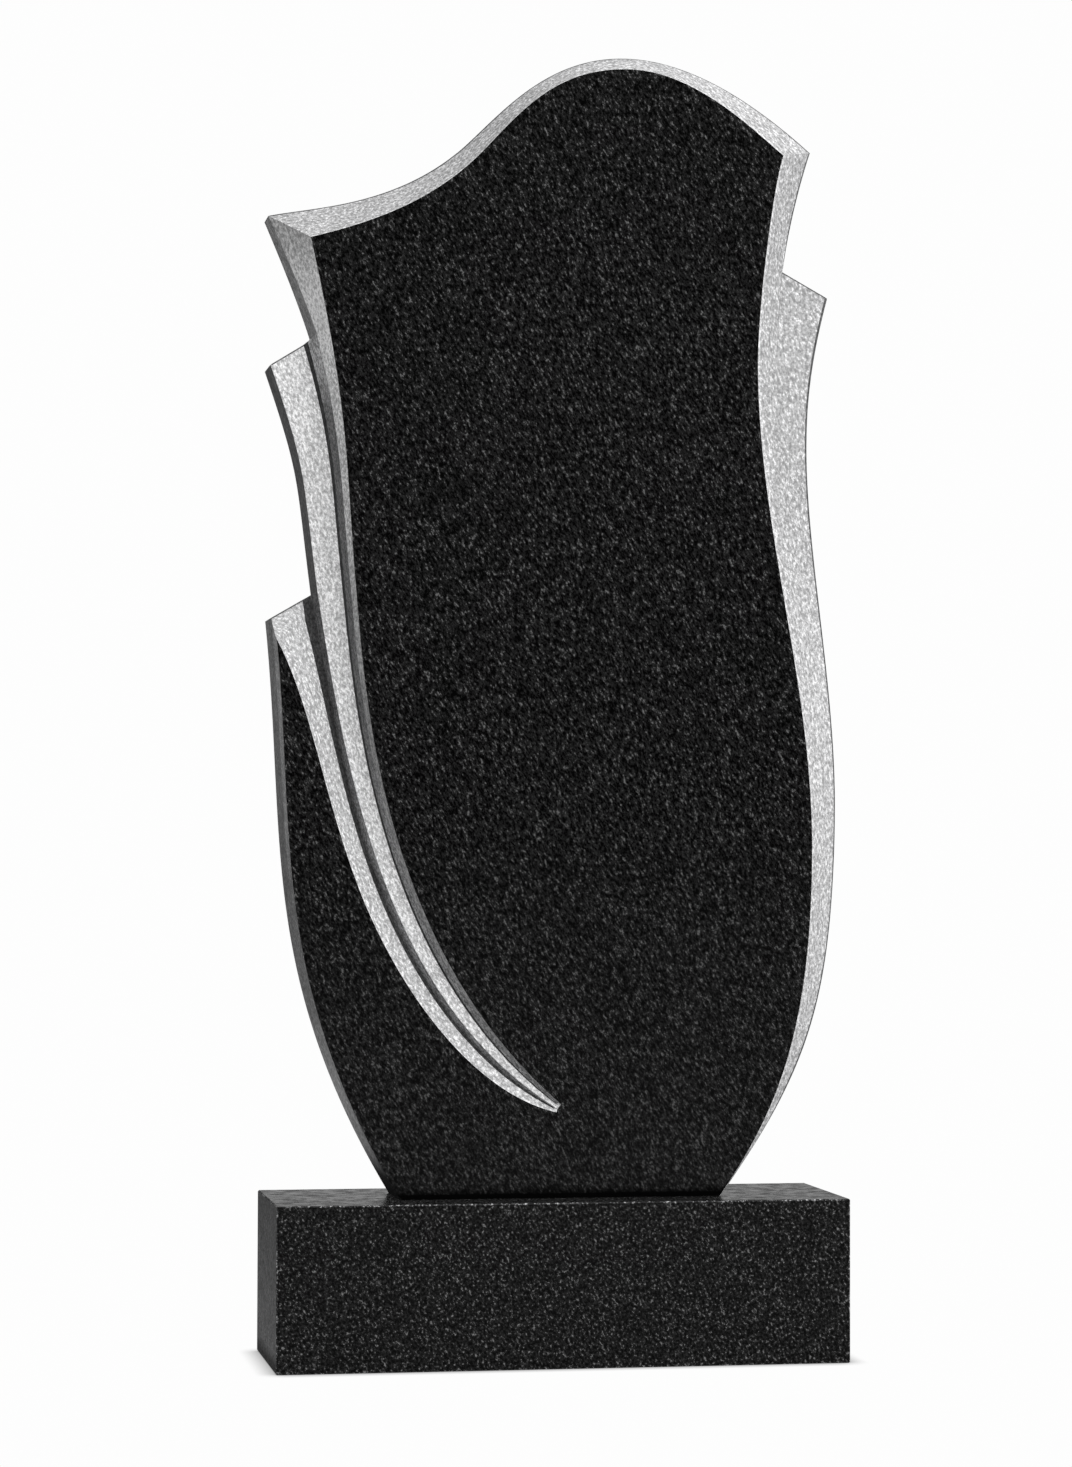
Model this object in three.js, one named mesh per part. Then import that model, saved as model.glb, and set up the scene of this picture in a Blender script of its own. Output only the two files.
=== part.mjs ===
// A granite headstone: a carved stele standing on a rectangular plinth.
// Millimetres, +Z up, front towards -Y, origin at the middle of the plinth's underside.
//
// The stele is drawn in its own plan, x to the right and z up from its foot. Every line of the
// carving is a chain of curves in that plan, with a depth below the polished front face.

import * as THREE from 'three';
import { mergeVertices } from 'three/addons/utils/BufferGeometryUtils.js';

// Plinth
const PLINTH_WIDTH = 497;
const PLINTH_DEPTH = 160;
const PLINTH_HEIGHT = 141;
const PLINTH_ARRIS = 1.5;

// Slab of the stele
const STELE_HEIGHT = 1000;
const SLAB_THICKNESS = 75;
const POINT_SPACING = 6;

// Corners and turning points of the slab's outline
const FOOT_LEFT = [-138, 0];
const THIRD_PETAL_TIP = [-249, 500];
const LOWER_NOTCH = [-209, 523.5];
const SECOND_PETAL_TIP = [-250.5, 719.5];
const UPPER_NOTCH = [-210.5, 747];
const TOP_LEFT = [-251.5, 851.5];
const SHOULDER = [-81, 916];
const CREST = [65, STELE_HEIGHT];
const TOP_RIGHT = [231, 922];
const RIGHT_NOTCH = [205, 814];
const RIGHT_PETAL_TIP = [248, 793];
const WAIST = [228, 657];
const HIP = [254, 342];
const FOOT_RIGHT = [144, 0];

// Edges of the slab: a start, then two handles and an end for each curve of the chain
const LOWER_LEFT_EDGE = [FOOT_LEFT, [-255, 194], [-229, 312], THIRD_PETAL_TIP];
const SECOND_PETAL_EDGE = [LOWER_NOTCH, [-223, 628], [-218, 626], SECOND_PETAL_TIP];
const UPPER_LEFT_EDGE = [UPPER_NOTCH, [-219, 774], [-233, 809], TOP_LEFT];
const TOP_EDGE = [
  TOP_LEFT, [-210, 861], [-141, 861.5],
  SHOULDER, [-47, 948], [-6, STELE_HEIGHT],
  CREST, [125, STELE_HEIGHT], [184, 962],
  TOP_RIGHT,
];
const UPPER_RIGHT_EDGE = [TOP_RIGHT, [220, 889], [211, 853], RIGHT_NOTCH];
const LOWER_RIGHT_EDGE = [
  RIGHT_PETAL_TIP, [235, 746], [WAIST[0], 705],
  WAIST, [WAIST[0], 565], [HIP[0], 448],
  HIP, [HIP[0], 162], [216, 100],
  FOOT_RIGHT,
];

// Corners of the polished face; the panel is its part on the left of the ribbons
const PANEL_APEX = [-247.4, 482];
const FACE_TOP_LEFT = [-219, 827.5];
const FACE_TOP_RIGHT = [199.5, 913];
const FACE_FOOT_RIGHT = [142.5, 0];
const RIBBON_END_LOW = [-2, 74];
const RIBBON_END_MIDDLE = [-1, 77];
const RIBBON_END_HIGH = [2, 81];

// Edges of the polished face and the ridge between its two ribbons, as chains too
const PANEL_EDGE = [
  RIBBON_END_LOW, [-80, 93], [-144, 188],
  [-175, 268], [-207, 351], [-216, 425],
  PANEL_APEX,
];
const RIDGE = [RIBBON_END_MIDDLE, [-150, 170], [-184, 357], LOWER_NOTCH];
const FACE_SIDE = [
  RIBBON_END_HIGH, [-161, 220], [-170, 449],
  [-178, 531], [-187, 634], [-183, 674],
  FACE_TOP_LEFT,
];
const FACE_TOP = [
  FACE_TOP_LEFT, [-161, 843], [-110, 864],
  [-68, 908.5], [-34, 945], [-3, 984],
  [62, 984], [121, 984], [174, 933],
  FACE_TOP_RIGHT,
];
const FACE_RIGHT = [
  FACE_TOP_RIGHT, [190.5, 887], [176.5, 780],
  [176.5, 728], [176.5, 584], [225.5, 449],
  [225.5, 304], [225.5, 140], [192, 70],
  FACE_FOOT_RIGHT,
];

// Fold of the right petal, which fades out below its notch
const FOLD_END = [200, 665];
const FOLD = [RIGHT_NOTCH, [201, 775], [199, 745], FOLD_END];

// Depths below the face along the slab's edges
const EDGE_BEVEL_WIDTH = 1.6;
const EDGE_BEVEL_DEPTH = { foot: 4, thirdPetalTip: 24 };
const BEVEL_DEPTH = { upperNotch: 23, topLeft: 40, crest: 30, rightNotch: 27, foot: 3 };
const RIGHT_PETAL_DEPTH = 34;
const FOLD_END_DEPTH = 14;
const RIGHT_TAPER_HEIGHT = 300;

// Depths of the ribbons' lines at their square end and at the two left notches
const OUTER_VALLEY_DEPTH = { end: 4, lowerNotch: 28 };
const KERF_EXTRA_DEPTH = { end: 2, lowerNotch: 7 };
const RIDGE_DEPTH = { end: 2, lowerNotch: 23, upperNotch: 25 };
const INNER_VALLEY_DEPTH = { end: 5, lowerNotch: 38, upperNotch: 52 };
const WALL_BREAK_DEPTH = { lowerNotch: 9, upperNotch: BEVEL_DEPTH.upperNotch };

// Places of the ribbons' lines, as shares of the width between two of the lines above
const OUTER_VALLEY_SHARE = { end: 0.64, lowerNotch: 0.69 };
const KERF_SHARE = { end: 0.78, lowerNotch: 0.87 };
const INNER_VALLEY_SHARE = { end: 0.5, lower: 0.665, lowerNotch: 0.74, upper: 0.725, upperNotch: 0.667 };
const WALL_BREAK_SHARE = 0.87;

// Looks
const STELE_FINISH = { color: 0x222324, roughness: 0.2 };
const PLINTH_FINISH = { color: 0x262728, roughness: 0.25 };

const { lerp, clamp, smoothstep } = THREE.MathUtils;
const CROSSING_TOLERANCE = 1e-6;

// Curves in the plan

const planPoint = ([x, z]) => new THREE.Vector2(x, z);
const endOf = (line) => line[line.length - 1];

function curveOf(chain) {
  const path = new THREE.CurvePath();
  for (let i = 0; i + 3 < chain.length; i += 3) {
    path.add(new THREE.CubicBezierCurve(...chain.slice(i, i + 4).map(planPoint)));
  }
  return path;
}

const pointCount = (curve) => Math.ceil(curve.getLength() / POINT_SPACING);

function trace(chain) {
  const curve = curveOf(chain);
  return curve.getSpacedPoints(pointCount(curve));
}

// Even points along the stretch of a curve from one length share to another.
function stretch(curve, from, to, count) {
  return Array.from({ length: count + 1 }, (_, i) => curve.getPoint(lerp(from, to, i / count)));
}

// Length share at which a curve crosses the line through two points.
function crossing(curve, a, b) {
  const side = (share) => {
    const p = curve.getPoint(share);
    return Math.sign((b.x - a.x) * (p.y - a.y) - (b.y - a.y) * (p.x - a.x));
  };
  let low = 0;
  let high = 1;
  const startSide = side(low);
  while (high - low > CROSSING_TOLERANCE) {
    const middle = (low + high) / 2;
    if (side(middle) === startSide) low = middle;
    else high = middle;
  }
  return low;
}

const indexAtHeight = (points, height) => points.reduce(
  (best, p, i) => (Math.abs(p.y - height) < Math.abs(points[best].y - height) ? i : best), 0);

// Line at a share of the way from one line to another with as many points.
function shareLine(from, to, shareAt) {
  return from.map((p, i) => p.clone().lerp(to[i], shareAt(i / (from.length - 1))));
}

// Rules along a line: even change between two values, and a smooth one through three.
const between = (from, to) => (share) => lerp(from, to, share);
const through = (start, middle, end) => (share) => (
  start * (1 - share) * (1 - 2 * share)
  + middle * 4 * share * (1 - share)
  + end * share * (2 * share - 1));

// Sets plan points at a depth below the face; the rule gets the share of the way and the point.
function carve(points, depthAt) {
  const last = points.length - 1;
  return points.map((p, i) => new THREE.Vector3(p.x, depthAt(i / last, p) - SLAB_THICKNESS / 2, p.y));
}

const onFace = (points) => carve(points, () => 0);
const onBack = (line) => line.map((p) => new THREE.Vector3(p.x, SLAB_THICKNESS / 2, p.z));

// Surfaces as loose triangles, wound to face outwards

function lengthShares(line) {
  const lengths = [0];
  for (let i = 1; i < line.length; i += 1) {
    lengths.push(lengths[i - 1] + line[i].distanceTo(line[i - 1]));
  }
  return lengths.map((length) => length / endOf(lengths));
}

// Surface between two lines that run the same way, the first on the left of that way.
function span(left, right) {
  const triangles = [];
  const leftShares = lengthShares(left);
  const rightShares = lengthShares(right);
  let i = 0;
  let j = 0;
  while (i < left.length - 1 || j < right.length - 1) {
    const takeLeft = j === right.length - 1
      || (i < left.length - 1 && leftShares[i + 1] <= rightShares[j + 1]);
    triangles.push([left[i], right[j], takeLeft ? left[i + 1] : right[j + 1]]);
    if (takeLeft) i += 1;
    else j += 1;
  }
  return triangles;
}

// Side wall from a front line to the back, by way of the same points or of its ends alone.
const wallBehind = (line) => span(onBack(line), line);
const flatWallBehind = (line) => span(onBack([line[0], endOf(line)]), line);

// Flat surface inside a ring of points; flatten gives the view of it from outside.
function fill(ring, flatten) {
  const views = ring.map(flatten);
  const turned = THREE.ShapeUtils.isClockWise(views);
  const corners = turned ? [...ring].reverse() : ring;
  const outline = turned ? [...views].reverse() : views;
  return THREE.ShapeUtils.triangulateShape(outline, []).map((face) => face.map((k) => corners[k]));
}

const fromFront = (p) => new THREE.Vector2(p.x, p.z);
const fromBack = (p) => new THREE.Vector2(-p.x, p.z);
const fromBelow = (p) => new THREE.Vector2(p.x, -p.y);

function solidFrom(triangles) {
  const positions = triangles.flat().flatMap((p) => [p.x, p.y, p.z]);
  const loose = new THREE.BufferGeometry();
  loose.setAttribute('position', new THREE.Float32BufferAttribute(positions, 3));
  const geometry = mergeVertices(loose);
  geometry.computeVertexNormals();
  return geometry;
}

// Lower left edge, whose narrow bevel runs out to a point at the third petal's tip
function lowerLeftLines() {
  const { foot, thirdPetalTip } = EDGE_BEVEL_DEPTH;
  const plan = trace(LOWER_LEFT_EDGE);
  const edge = carve(plan, (share) => lerp(foot, thirdPetalTip, Math.sin(share * Math.PI / 2)));
  const belowApex = plan.filter((p) => p.y < PANEL_APEX[1] - POINT_SPACING / 2);
  const rimPlan = belowApex.map((p) => new THREE.Vector2(p.x + EDGE_BEVEL_WIDTH, p.y));
  const rim = onFace([...rimPlan, planPoint(PANEL_APEX)]);
  const apex = endOf(rim);
  const tip = endOf(edge);
  const tipCount = Math.ceil(apex.distanceTo(tip) / POINT_SPACING);
  const tipEdge = Array.from({ length: tipCount + 1 }, (_, i) => apex.clone().lerp(tip, i / tipCount));
  return { edge, rim, tipEdge };
}

// Lines of the two ribbons, from their square end up to the left notches
function ribbonLines(tipEdge) {
  const panelEdge = curveOf(PANEL_EDGE);
  const ridge = curveOf(RIDGE);
  const secondPetalEdge = curveOf(SECOND_PETAL_EDGE);
  const faceSide = curveOf(FACE_SIDE);
  const thirdPetalGuide = curveOf(PANEL_EDGE);
  thirdPetalGuide.add(new THREE.LineCurve(planPoint(PANEL_APEX), planPoint(THIRD_PETAL_TIP)));

  // Plan points at the same stations: the lower stretch ends at the lower notch, the upper at the upper
  const lowerMeeting = crossing(faceSide, planPoint(THIRD_PETAL_TIP), planPoint(LOWER_NOTCH));
  const upperMeeting = crossing(faceSide, planPoint(SECOND_PETAL_TIP), planPoint(UPPER_NOTCH));
  const lowerCount = pointCount(ridge);
  const upperCount = pointCount(secondPetalEdge);
  const lowerOuter = thirdPetalGuide.getSpacedPoints(lowerCount);
  const lowerRidge = ridge.getSpacedPoints(lowerCount);
  const lowerFace = stretch(faceSide, 0, lowerMeeting, lowerCount);
  const upperRidge = secondPetalEdge.getSpacedPoints(upperCount);
  const upperFace = stretch(faceSide, lowerMeeting, upperMeeting, upperCount);
  const bevelFace = stretch(faceSide, upperMeeting, 1, upperCount);

  // Rules for the lines between the guides
  const places = INNER_VALLEY_SHARE;
  const notchShare = planPoint(SECOND_PETAL_TIP).distanceTo(planPoint(UPPER_NOTCH))
    / planPoint(SECOND_PETAL_TIP).distanceTo(endOf(upperFace));
  const outerValleyShare = between(OUTER_VALLEY_SHARE.end, OUTER_VALLEY_SHARE.lowerNotch);
  const kerfShare = between(KERF_SHARE.end, KERF_SHARE.lowerNotch);
  const lowerValleyShare = through(places.end, places.lower, places.lowerNotch);
  const upperValleyShare = through(places.lowerNotch, places.upper, places.upperNotch);
  const upperBreakShare = between(WALL_BREAK_SHARE, notchShare);
  const outerValleyDepth = between(OUTER_VALLEY_DEPTH.end, OUTER_VALLEY_DEPTH.lowerNotch);
  const kerfExtraDepth = between(KERF_EXTRA_DEPTH.end, KERF_EXTRA_DEPTH.lowerNotch);
  const kerfDepth = (share) => outerValleyDepth(share) + kerfExtraDepth(share);
  const lowerRidgeDepth = (share) => lerp(RIDGE_DEPTH.end, RIDGE_DEPTH.lowerNotch, share * share);
  const upperRidgeDepth = between(RIDGE_DEPTH.lowerNotch, RIDGE_DEPTH.upperNotch);
  const lowerValleyDepth = between(INNER_VALLEY_DEPTH.end, INNER_VALLEY_DEPTH.lowerNotch);
  const upperValleyDepth = between(INNER_VALLEY_DEPTH.lowerNotch, INNER_VALLEY_DEPTH.upperNotch);
  const straightWallDepth = (share) => (
    lowerValleyDepth(share) * (1 - WALL_BREAK_SHARE) / (1 - lowerValleyShare(share)));
  const lowerBreakDepth = (share) => Math.min(WALL_BREAK_DEPTH.lowerNotch, straightWallDepth(share));
  const upperBreakDepth = (share) => (
    lerp(WALL_BREAK_DEPTH.lowerNotch, WALL_BREAK_DEPTH.upperNotch, share * share));

  // Each stretch leaves out its first station: the square end closes the lower lines there, and the
  // upper lines follow on from the lower ones
  const stations = (points, depthAt) => carve(points, depthAt).slice(1);
  return {
    thirdPetalEdge: [...onFace(panelEdge.getSpacedPoints(pointCount(panelEdge))), ...tipEdge.slice(1)],
    outerValley: stations(shareLine(lowerOuter, lowerRidge, outerValleyShare), outerValleyDepth),
    kerf: stations(shareLine(lowerOuter, lowerRidge, kerfShare), kerfDepth),
    lowerRidge: stations(lowerRidge, lowerRidgeDepth),
    upperRidge: stations(upperRidge, upperRidgeDepth),
    innerValley: [
      ...stations(shareLine(lowerRidge, lowerFace, lowerValleyShare), lowerValleyDepth),
      ...stations(shareLine(upperRidge, upperFace, upperValleyShare), upperValleyDepth),
    ],
    wallBreak: [
      ...stations(shareLine(lowerRidge, lowerFace, () => WALL_BREAK_SHARE), lowerBreakDepth),
      ...stations(shareLine(upperRidge, upperFace, upperBreakShare), upperBreakDepth),
    ],
    faceEdge: onFace([...lowerFace, ...upperFace.slice(1)]),
    bevelFaceEdge: onFace(bevelFace),
  };
}

// Right edge: upper bevel, petal with its fading fold, then waist, hip and foot
function rightLines() {
  const plan = trace(LOWER_RIGHT_EDGE);
  const facePlan = trace(FACE_RIGHT);
  const foldHeight = FOLD_END[1];
  const petalHeight = RIGHT_PETAL_TIP[1] - foldHeight;
  const depthAt = (_, p) => {
    const taper = smoothstep(p.y, 0, RIGHT_TAPER_HEIGHT);
    const petal = clamp((p.y - foldHeight) / petalHeight, 0, 1);
    return lerp(lerp(BEVEL_DEPTH.foot, BEVEL_DEPTH.crest, taper), RIGHT_PETAL_DEPTH, petal);
  };
  return {
    upperEdge: carve(trace(UPPER_RIGHT_EDGE), between(BEVEL_DEPTH.crest, BEVEL_DEPTH.rightNotch)),
    fold: carve(trace(FOLD), between(BEVEL_DEPTH.rightNotch, FOLD_END_DEPTH)),
    lowerEdge: carve(plan, depthAt),
    faceEdge: onFace(facePlan),
    petalFoot: indexAtHeight(plan, foldHeight),
    faceAtFold: indexAtHeight(facePlan, foldHeight),
  };
}

function steleGeometry() {
  const lowerLeft = lowerLeftLines();
  const ribbons = ribbonLines(lowerLeft.tipEdge);
  const right = rightLines();
  const ridge = [...ribbons.lowerRidge, ...ribbons.upperRidge];
  const secondPetalEdge = [endOf(ribbons.lowerRidge), ...ribbons.upperRidge];
  const upperLeftDepth = between(BEVEL_DEPTH.upperNotch, BEVEL_DEPTH.topLeft);
  const upperLeft = [endOf(ribbons.wallBreak), ...carve(trace(UPPER_LEFT_EDGE), upperLeftDepth).slice(1)];
  const top = carve(trace(TOP_EDGE), (_, p) => (
    lerp(BEVEL_DEPTH.topLeft, BEVEL_DEPTH.crest, smoothstep(p.x, TOP_LEFT[0], SHOULDER[0]))));
  const faceTop = onFace(trace(FACE_TOP));
  const upperRightFace = right.faceEdge.slice(0, right.faceAtFold + 1);
  const lowerRightFace = right.faceEdge.slice(right.faceAtFold);
  const rightPetal = right.lowerEdge.slice(0, right.petalFoot + 1);
  const belowPetal = right.lowerEdge.slice(right.petalFoot);

  const bevels = [
    ...span(lowerLeft.edge, [...lowerLeft.rim, ...lowerLeft.tipEdge.slice(1, -1)]),
    ...span(upperLeft, ribbons.bevelFaceEdge),
    ...span(top, faceTop),
    ...span([...right.upperEdge, ...right.fold.slice(1)], upperRightFace),
    ...span(rightPetal, right.fold),
    [belowPetal[0], endOf(right.fold), lowerRightFace[0]],
    ...span(belowPetal, lowerRightFace),
  ];

  const ribbonEnd = [
    ribbons.outerValley, ribbons.kerf, ribbons.lowerRidge, ribbons.innerValley, ribbons.wallBreak,
  ].map((line) => line[0]);
  const carving = [
    ...span(ribbons.thirdPetalEdge, ribbons.outerValley),
    ...span(ribbons.outerValley, ribbons.kerf),
    ...span(ribbons.kerf, ribbons.lowerRidge),
    ...span(ridge, ribbons.innerValley),
    ...span(ribbons.innerValley, ribbons.wallBreak),
    ...span(ribbons.wallBreak, ribbons.faceEdge),
    ...span(ribbonEnd, [ribbons.thirdPetalEdge[0], ribbons.faceEdge[0]]),
  ];

  const thirdPetalTop = [lowerLeft.edge, ribbons.outerValley, ribbons.kerf, ribbons.lowerRidge].map(endOf);
  const secondPetalTop = [ridge, ribbons.innerValley, ribbons.wallBreak].map(endOf);
  const sides = [
    ...wallBehind(lowerLeft.edge),
    ...flatWallBehind(thirdPetalTop),
    ...wallBehind(secondPetalEdge),
    ...flatWallBehind(secondPetalTop),
    ...wallBehind(upperLeft),
    ...wallBehind(top),
    ...wallBehind(right.upperEdge),
    ...wallBehind([endOf(right.upperEdge), right.lowerEdge[0]]),
    ...wallBehind(right.lowerEdge),
  ];

  const apexIndex = ribbons.thirdPetalEdge.length - lowerLeft.tipEdge.length;
  const panelEdge = ribbons.thirdPetalEdge.slice(0, apexIndex);
  const faceRing = [
    ...lowerLeft.rim, ...panelEdge.reverse(), ...ribbons.faceEdge,
    ...ribbons.bevelFaceEdge.slice(1), ...faceTop.slice(1), ...right.faceEdge.slice(1),
  ];
  const backRing = onBack([
    ...lowerLeft.edge, ...secondPetalEdge, ...upperLeft,
    ...top.slice(1), ...right.upperEdge.slice(1), ...right.lowerEdge,
  ]);
  const footRing = [
    lowerLeft.edge[0], lowerLeft.rim[0], endOf(right.faceEdge), endOf(right.lowerEdge),
    endOf(backRing), backRing[0],
  ];
  const flats = [
    ...fill(faceRing, fromFront),
    ...fill(backRing, fromBack),
    ...fill(footRing, fromBelow),
  ];

  return solidFrom([...bevels, ...carving, ...sides, ...flats]);
}

// Plinth: a block with every arris taken off at a slant
function plinthGeometry() {
  const halfWidth = PLINTH_WIDTH / 2 - PLINTH_ARRIS;
  const halfDepth = PLINTH_DEPTH / 2 - PLINTH_ARRIS;
  const inner = new THREE.Shape();
  inner.moveTo(-halfWidth, -halfDepth);
  inner.lineTo(halfWidth, -halfDepth);
  inner.lineTo(halfWidth, halfDepth);
  inner.lineTo(-halfWidth, halfDepth);
  inner.closePath();
  const block = new THREE.ExtrudeGeometry(inner, {
    depth: PLINTH_HEIGHT - 2 * PLINTH_ARRIS,
    bevelEnabled: true,
    bevelThickness: PLINTH_ARRIS,
    bevelSize: PLINTH_ARRIS,
    bevelSegments: 1,
    steps: 1,
  });
  block.translate(0, 0, PLINTH_ARRIS);
  return block;
}

function piece(name, geometry, { color, roughness }) {
  const material = new THREE.MeshStandardMaterial({ color, roughness, metalness: 0 });
  const mesh = new THREE.Mesh(geometry, material);
  mesh.name = name;
  return mesh;
}

const headstone = new THREE.Group();
const plinth = piece('plinth', plinthGeometry(), PLINTH_FINISH);
const stele = piece('stele', steleGeometry(), STELE_FINISH);
stele.position.z = PLINTH_HEIGHT;
headstone.add(plinth, stele);

export default headstone;
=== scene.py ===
"""A carved granite headstone: a stele with frosted ribbons, its plinth, and a plain studio stage."""

import math

import bmesh
import bpy
import numpy as np
from bpy.props import FloatProperty, FloatVectorProperty, PointerProperty
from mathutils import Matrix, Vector


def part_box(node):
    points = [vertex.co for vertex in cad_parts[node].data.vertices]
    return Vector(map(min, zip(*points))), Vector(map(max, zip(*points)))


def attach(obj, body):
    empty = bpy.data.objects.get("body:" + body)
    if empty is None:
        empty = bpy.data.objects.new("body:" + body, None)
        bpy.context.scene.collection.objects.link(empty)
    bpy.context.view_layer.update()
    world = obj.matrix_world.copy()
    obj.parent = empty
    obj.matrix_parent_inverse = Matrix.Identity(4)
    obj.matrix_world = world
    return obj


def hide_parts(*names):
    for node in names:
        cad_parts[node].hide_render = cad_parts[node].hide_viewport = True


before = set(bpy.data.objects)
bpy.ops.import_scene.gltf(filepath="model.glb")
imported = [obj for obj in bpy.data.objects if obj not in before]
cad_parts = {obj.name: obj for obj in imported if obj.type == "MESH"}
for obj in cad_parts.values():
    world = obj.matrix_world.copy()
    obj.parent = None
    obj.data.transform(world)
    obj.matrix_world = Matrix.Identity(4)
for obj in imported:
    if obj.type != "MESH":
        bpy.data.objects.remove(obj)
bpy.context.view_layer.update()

bl_info = {
    "name": "Carved Granite Headstone",
    "version": (1, 0, 0),
    "blender": (4, 5, 0),
    "location": "View3D > Sidebar > Headstone",
    "description": "Makes a carved stele, its plinth and a plain stage",
    "category": "Object",
}

# Sizes from the frame, in metres
PLINTH_LOW, PLINTH_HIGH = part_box("plinth")
STELE_LOW, STELE_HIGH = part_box("stele")

# Body that the pieces ride on
BODY = "root"

# The stele is drawn in millimetres: x to the right, z up from its foot, depth behind its face
MILLIMETRE = 0.001
STELE_HEIGHT = 1000
LEFTMOST = STELE_LOW.x / MILLIMETRE
RIGHTMOST = STELE_HIGH.x / MILLIMETRE
THICKNESS = (STELE_HIGH.y - STELE_LOW.y) / MILLIMETRE

# Corners and turning points of the outline
FOOT_LEFT = (-138, 0)
THIRD_PETAL_TIP = (-249, 500)
LOWER_NOTCH = (-209, 523.5)
SECOND_PETAL_TIP = (-250.5, 719.5)
UPPER_NOTCH = (-210.5, 747)
TOP_LEFT = (LEFTMOST, 851.5)
SHOULDER = (-81, 916)
CREST = (65, STELE_HEIGHT)
TOP_RIGHT = (231, 922)
RIGHT_NOTCH = (205, 814)
RIGHT_PETAL_TIP = (248, 793)
WAIST = (228, 657)
HIP = (RIGHTMOST, 342)
FOOT_RIGHT = (144, 0)

# Edges of the slab: a start, then two handles and an end for each curve of the chain
LOWER_LEFT_EDGE = (FOOT_LEFT, (-255, 194), (-229, 312), THIRD_PETAL_TIP)
SECOND_PETAL_EDGE = (LOWER_NOTCH, (-223, 628), (-218, 626), SECOND_PETAL_TIP)
UPPER_LEFT_EDGE = (UPPER_NOTCH, (-219, 774), (-233, 809), TOP_LEFT)
TOP_EDGE = (
    TOP_LEFT, (-210, 861), (-141, 861.5),
    SHOULDER, (-47, 948), (-6, STELE_HEIGHT),
    CREST, (125, STELE_HEIGHT), (184, 962),
    TOP_RIGHT,
)
UPPER_RIGHT_EDGE = (TOP_RIGHT, (220, 889), (211, 853), RIGHT_NOTCH)
LOWER_RIGHT_EDGE = (
    RIGHT_PETAL_TIP, (235, 746), (WAIST[0], 705),
    WAIST, (WAIST[0], 565), (HIP[0], 448),
    HIP, (HIP[0], 162), (216, 100),
    FOOT_RIGHT,
)

# Corners of the polished face; the panel is its part on the left of the ribbons
PANEL_APEX = (-247.4, 482)
FACE_TOP_LEFT = (-219, 827.5)
FACE_TOP_RIGHT = (199.5, 913)
FACE_FOOT_RIGHT = (142.5, 0)
RIBBON_END_LOW = (-2, 74)
RIBBON_END_MIDDLE = (-1, 77)
RIBBON_END_HIGH = (2, 81)

# Edges of the polished face and the ridge between its two ribbons, as chains too
PANEL_EDGE = (
    RIBBON_END_LOW, (-80, 93), (-144, 188),
    (-175, 268), (-207, 351), (-216, 425),
    PANEL_APEX,
)
RIDGE = (RIBBON_END_MIDDLE, (-150, 170), (-184, 357), LOWER_NOTCH)
FACE_SIDE = (
    RIBBON_END_HIGH, (-162, 220), (-171, 449),
    (-179, 531), (-188, 634), (-184, 674),
    FACE_TOP_LEFT,
)
FACE_TOP = (
    FACE_TOP_LEFT, (-161, 843), (-110, 864),
    (-68, 908.5), (-34, 945), (-3, 984),
    (62, 984), (121, 984), (174, 933),
    FACE_TOP_RIGHT,
)
FACE_RIGHT = (
    FACE_TOP_RIGHT, (190.5, 887), (176.5, 780),
    (176.5, 728), (176.5, 584), (225.5, 449),
    (225.5, 304), (225.5, 140), (192, 70),
    FACE_FOOT_RIGHT,
)

# Widths, depths and taper of the bevels along the slab's edges
EDGE_BEVEL_WIDTH = {"foot": 0.2, "third_petal_tip": 0.7}
EDGE_BEVEL_DEPTH = {"foot": 4, "third_petal_tip": 24}
BEVEL_DEPTH = {"upper_notch": 23, "top_left": 40, "crest": 30, "right_notch": 27, "foot": 3}
RIGHT_PETAL_DEPTH = 34
RIGHT_TAPER_HEIGHT = 300

# Fold of the right petal: its place as shares of the bevel's width, and where and how it fades out
FOLD_SHARE = {"notch": 0.37, "end": 0.44}
FOLD_END_HEIGHT = 665
FOLD_FADE = 1.3

# Depths of the ribbons' lines at their square end and at the two left notches
OUTER_VALLEY_DEPTH = {"end": 4, "lower_notch": 28}
KERF_EXTRA_DEPTH = {"end": 2, "lower_notch": 7}
RIDGE_DEPTH = {"end": 2, "lower_notch": 23, "upper_notch": 25}
INNER_VALLEY_DEPTH = {"end": 5, "lower_notch": 38, "upper_notch": 52}
WALL_BREAK_DEPTH = {"lower_notch": 9, "upper_notch": BEVEL_DEPTH["upper_notch"]}

# Distance from the square end over which the ribbons reach these depths
RIBBON_RAMP = 2.5

# Places of the ribbons' lines, as shares of the width between two of the lines above
OUTER_VALLEY_SHARE = {"end": 0.64, "lower_notch": 0.69}
KERF_SHARE = {"end": 0.78, "lower_notch": 0.87}
LOWER_VALLEY_SHARE = {"end": 0.53, "middle": 0.7, "lower_notch": 0.77}
UPPER_VALLEY_SHARE = {"lower_notch": 0.77, "middle": 0.742, "upper_notch": 0.667}
WALL_BREAK_SHARE = 0.89

# How curves are followed: points that each adds to its chain, its fine steps, and a line's fewest steps
POINTS_OF_CURVE = 3
CURVE_STEPS = 400
FEWEST_STEPS = 2

# How near to each other points are made one, in metres
MERGE_DISTANCE = 1e-5

# Arrises: widths and depths, shares of the surfaces beside them, and stations over which they narrow
PETAL_ARRIS = 1.2
PETAL_ARRIS_DEPTH = 0.8
# The fold line is a strip in the bevel's own plane, painted darker as a shade line.
FOLD_LINE = 1.0
ARRIS_SHARE = 0.3
FACE_RIM_SHARE = 0.15
EDGE_DROP_SHARE = 0.3
ARRIS_TAPER = 12

# Joint that is cut in at the foot of the face, and line along the base of the wall beside the face up
# to which the base is painted as shade
JOINT_DEPTH = 2.5
JOINT_STATIONS = 2
SHADE_LINE_SHARE = 0.3
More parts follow.
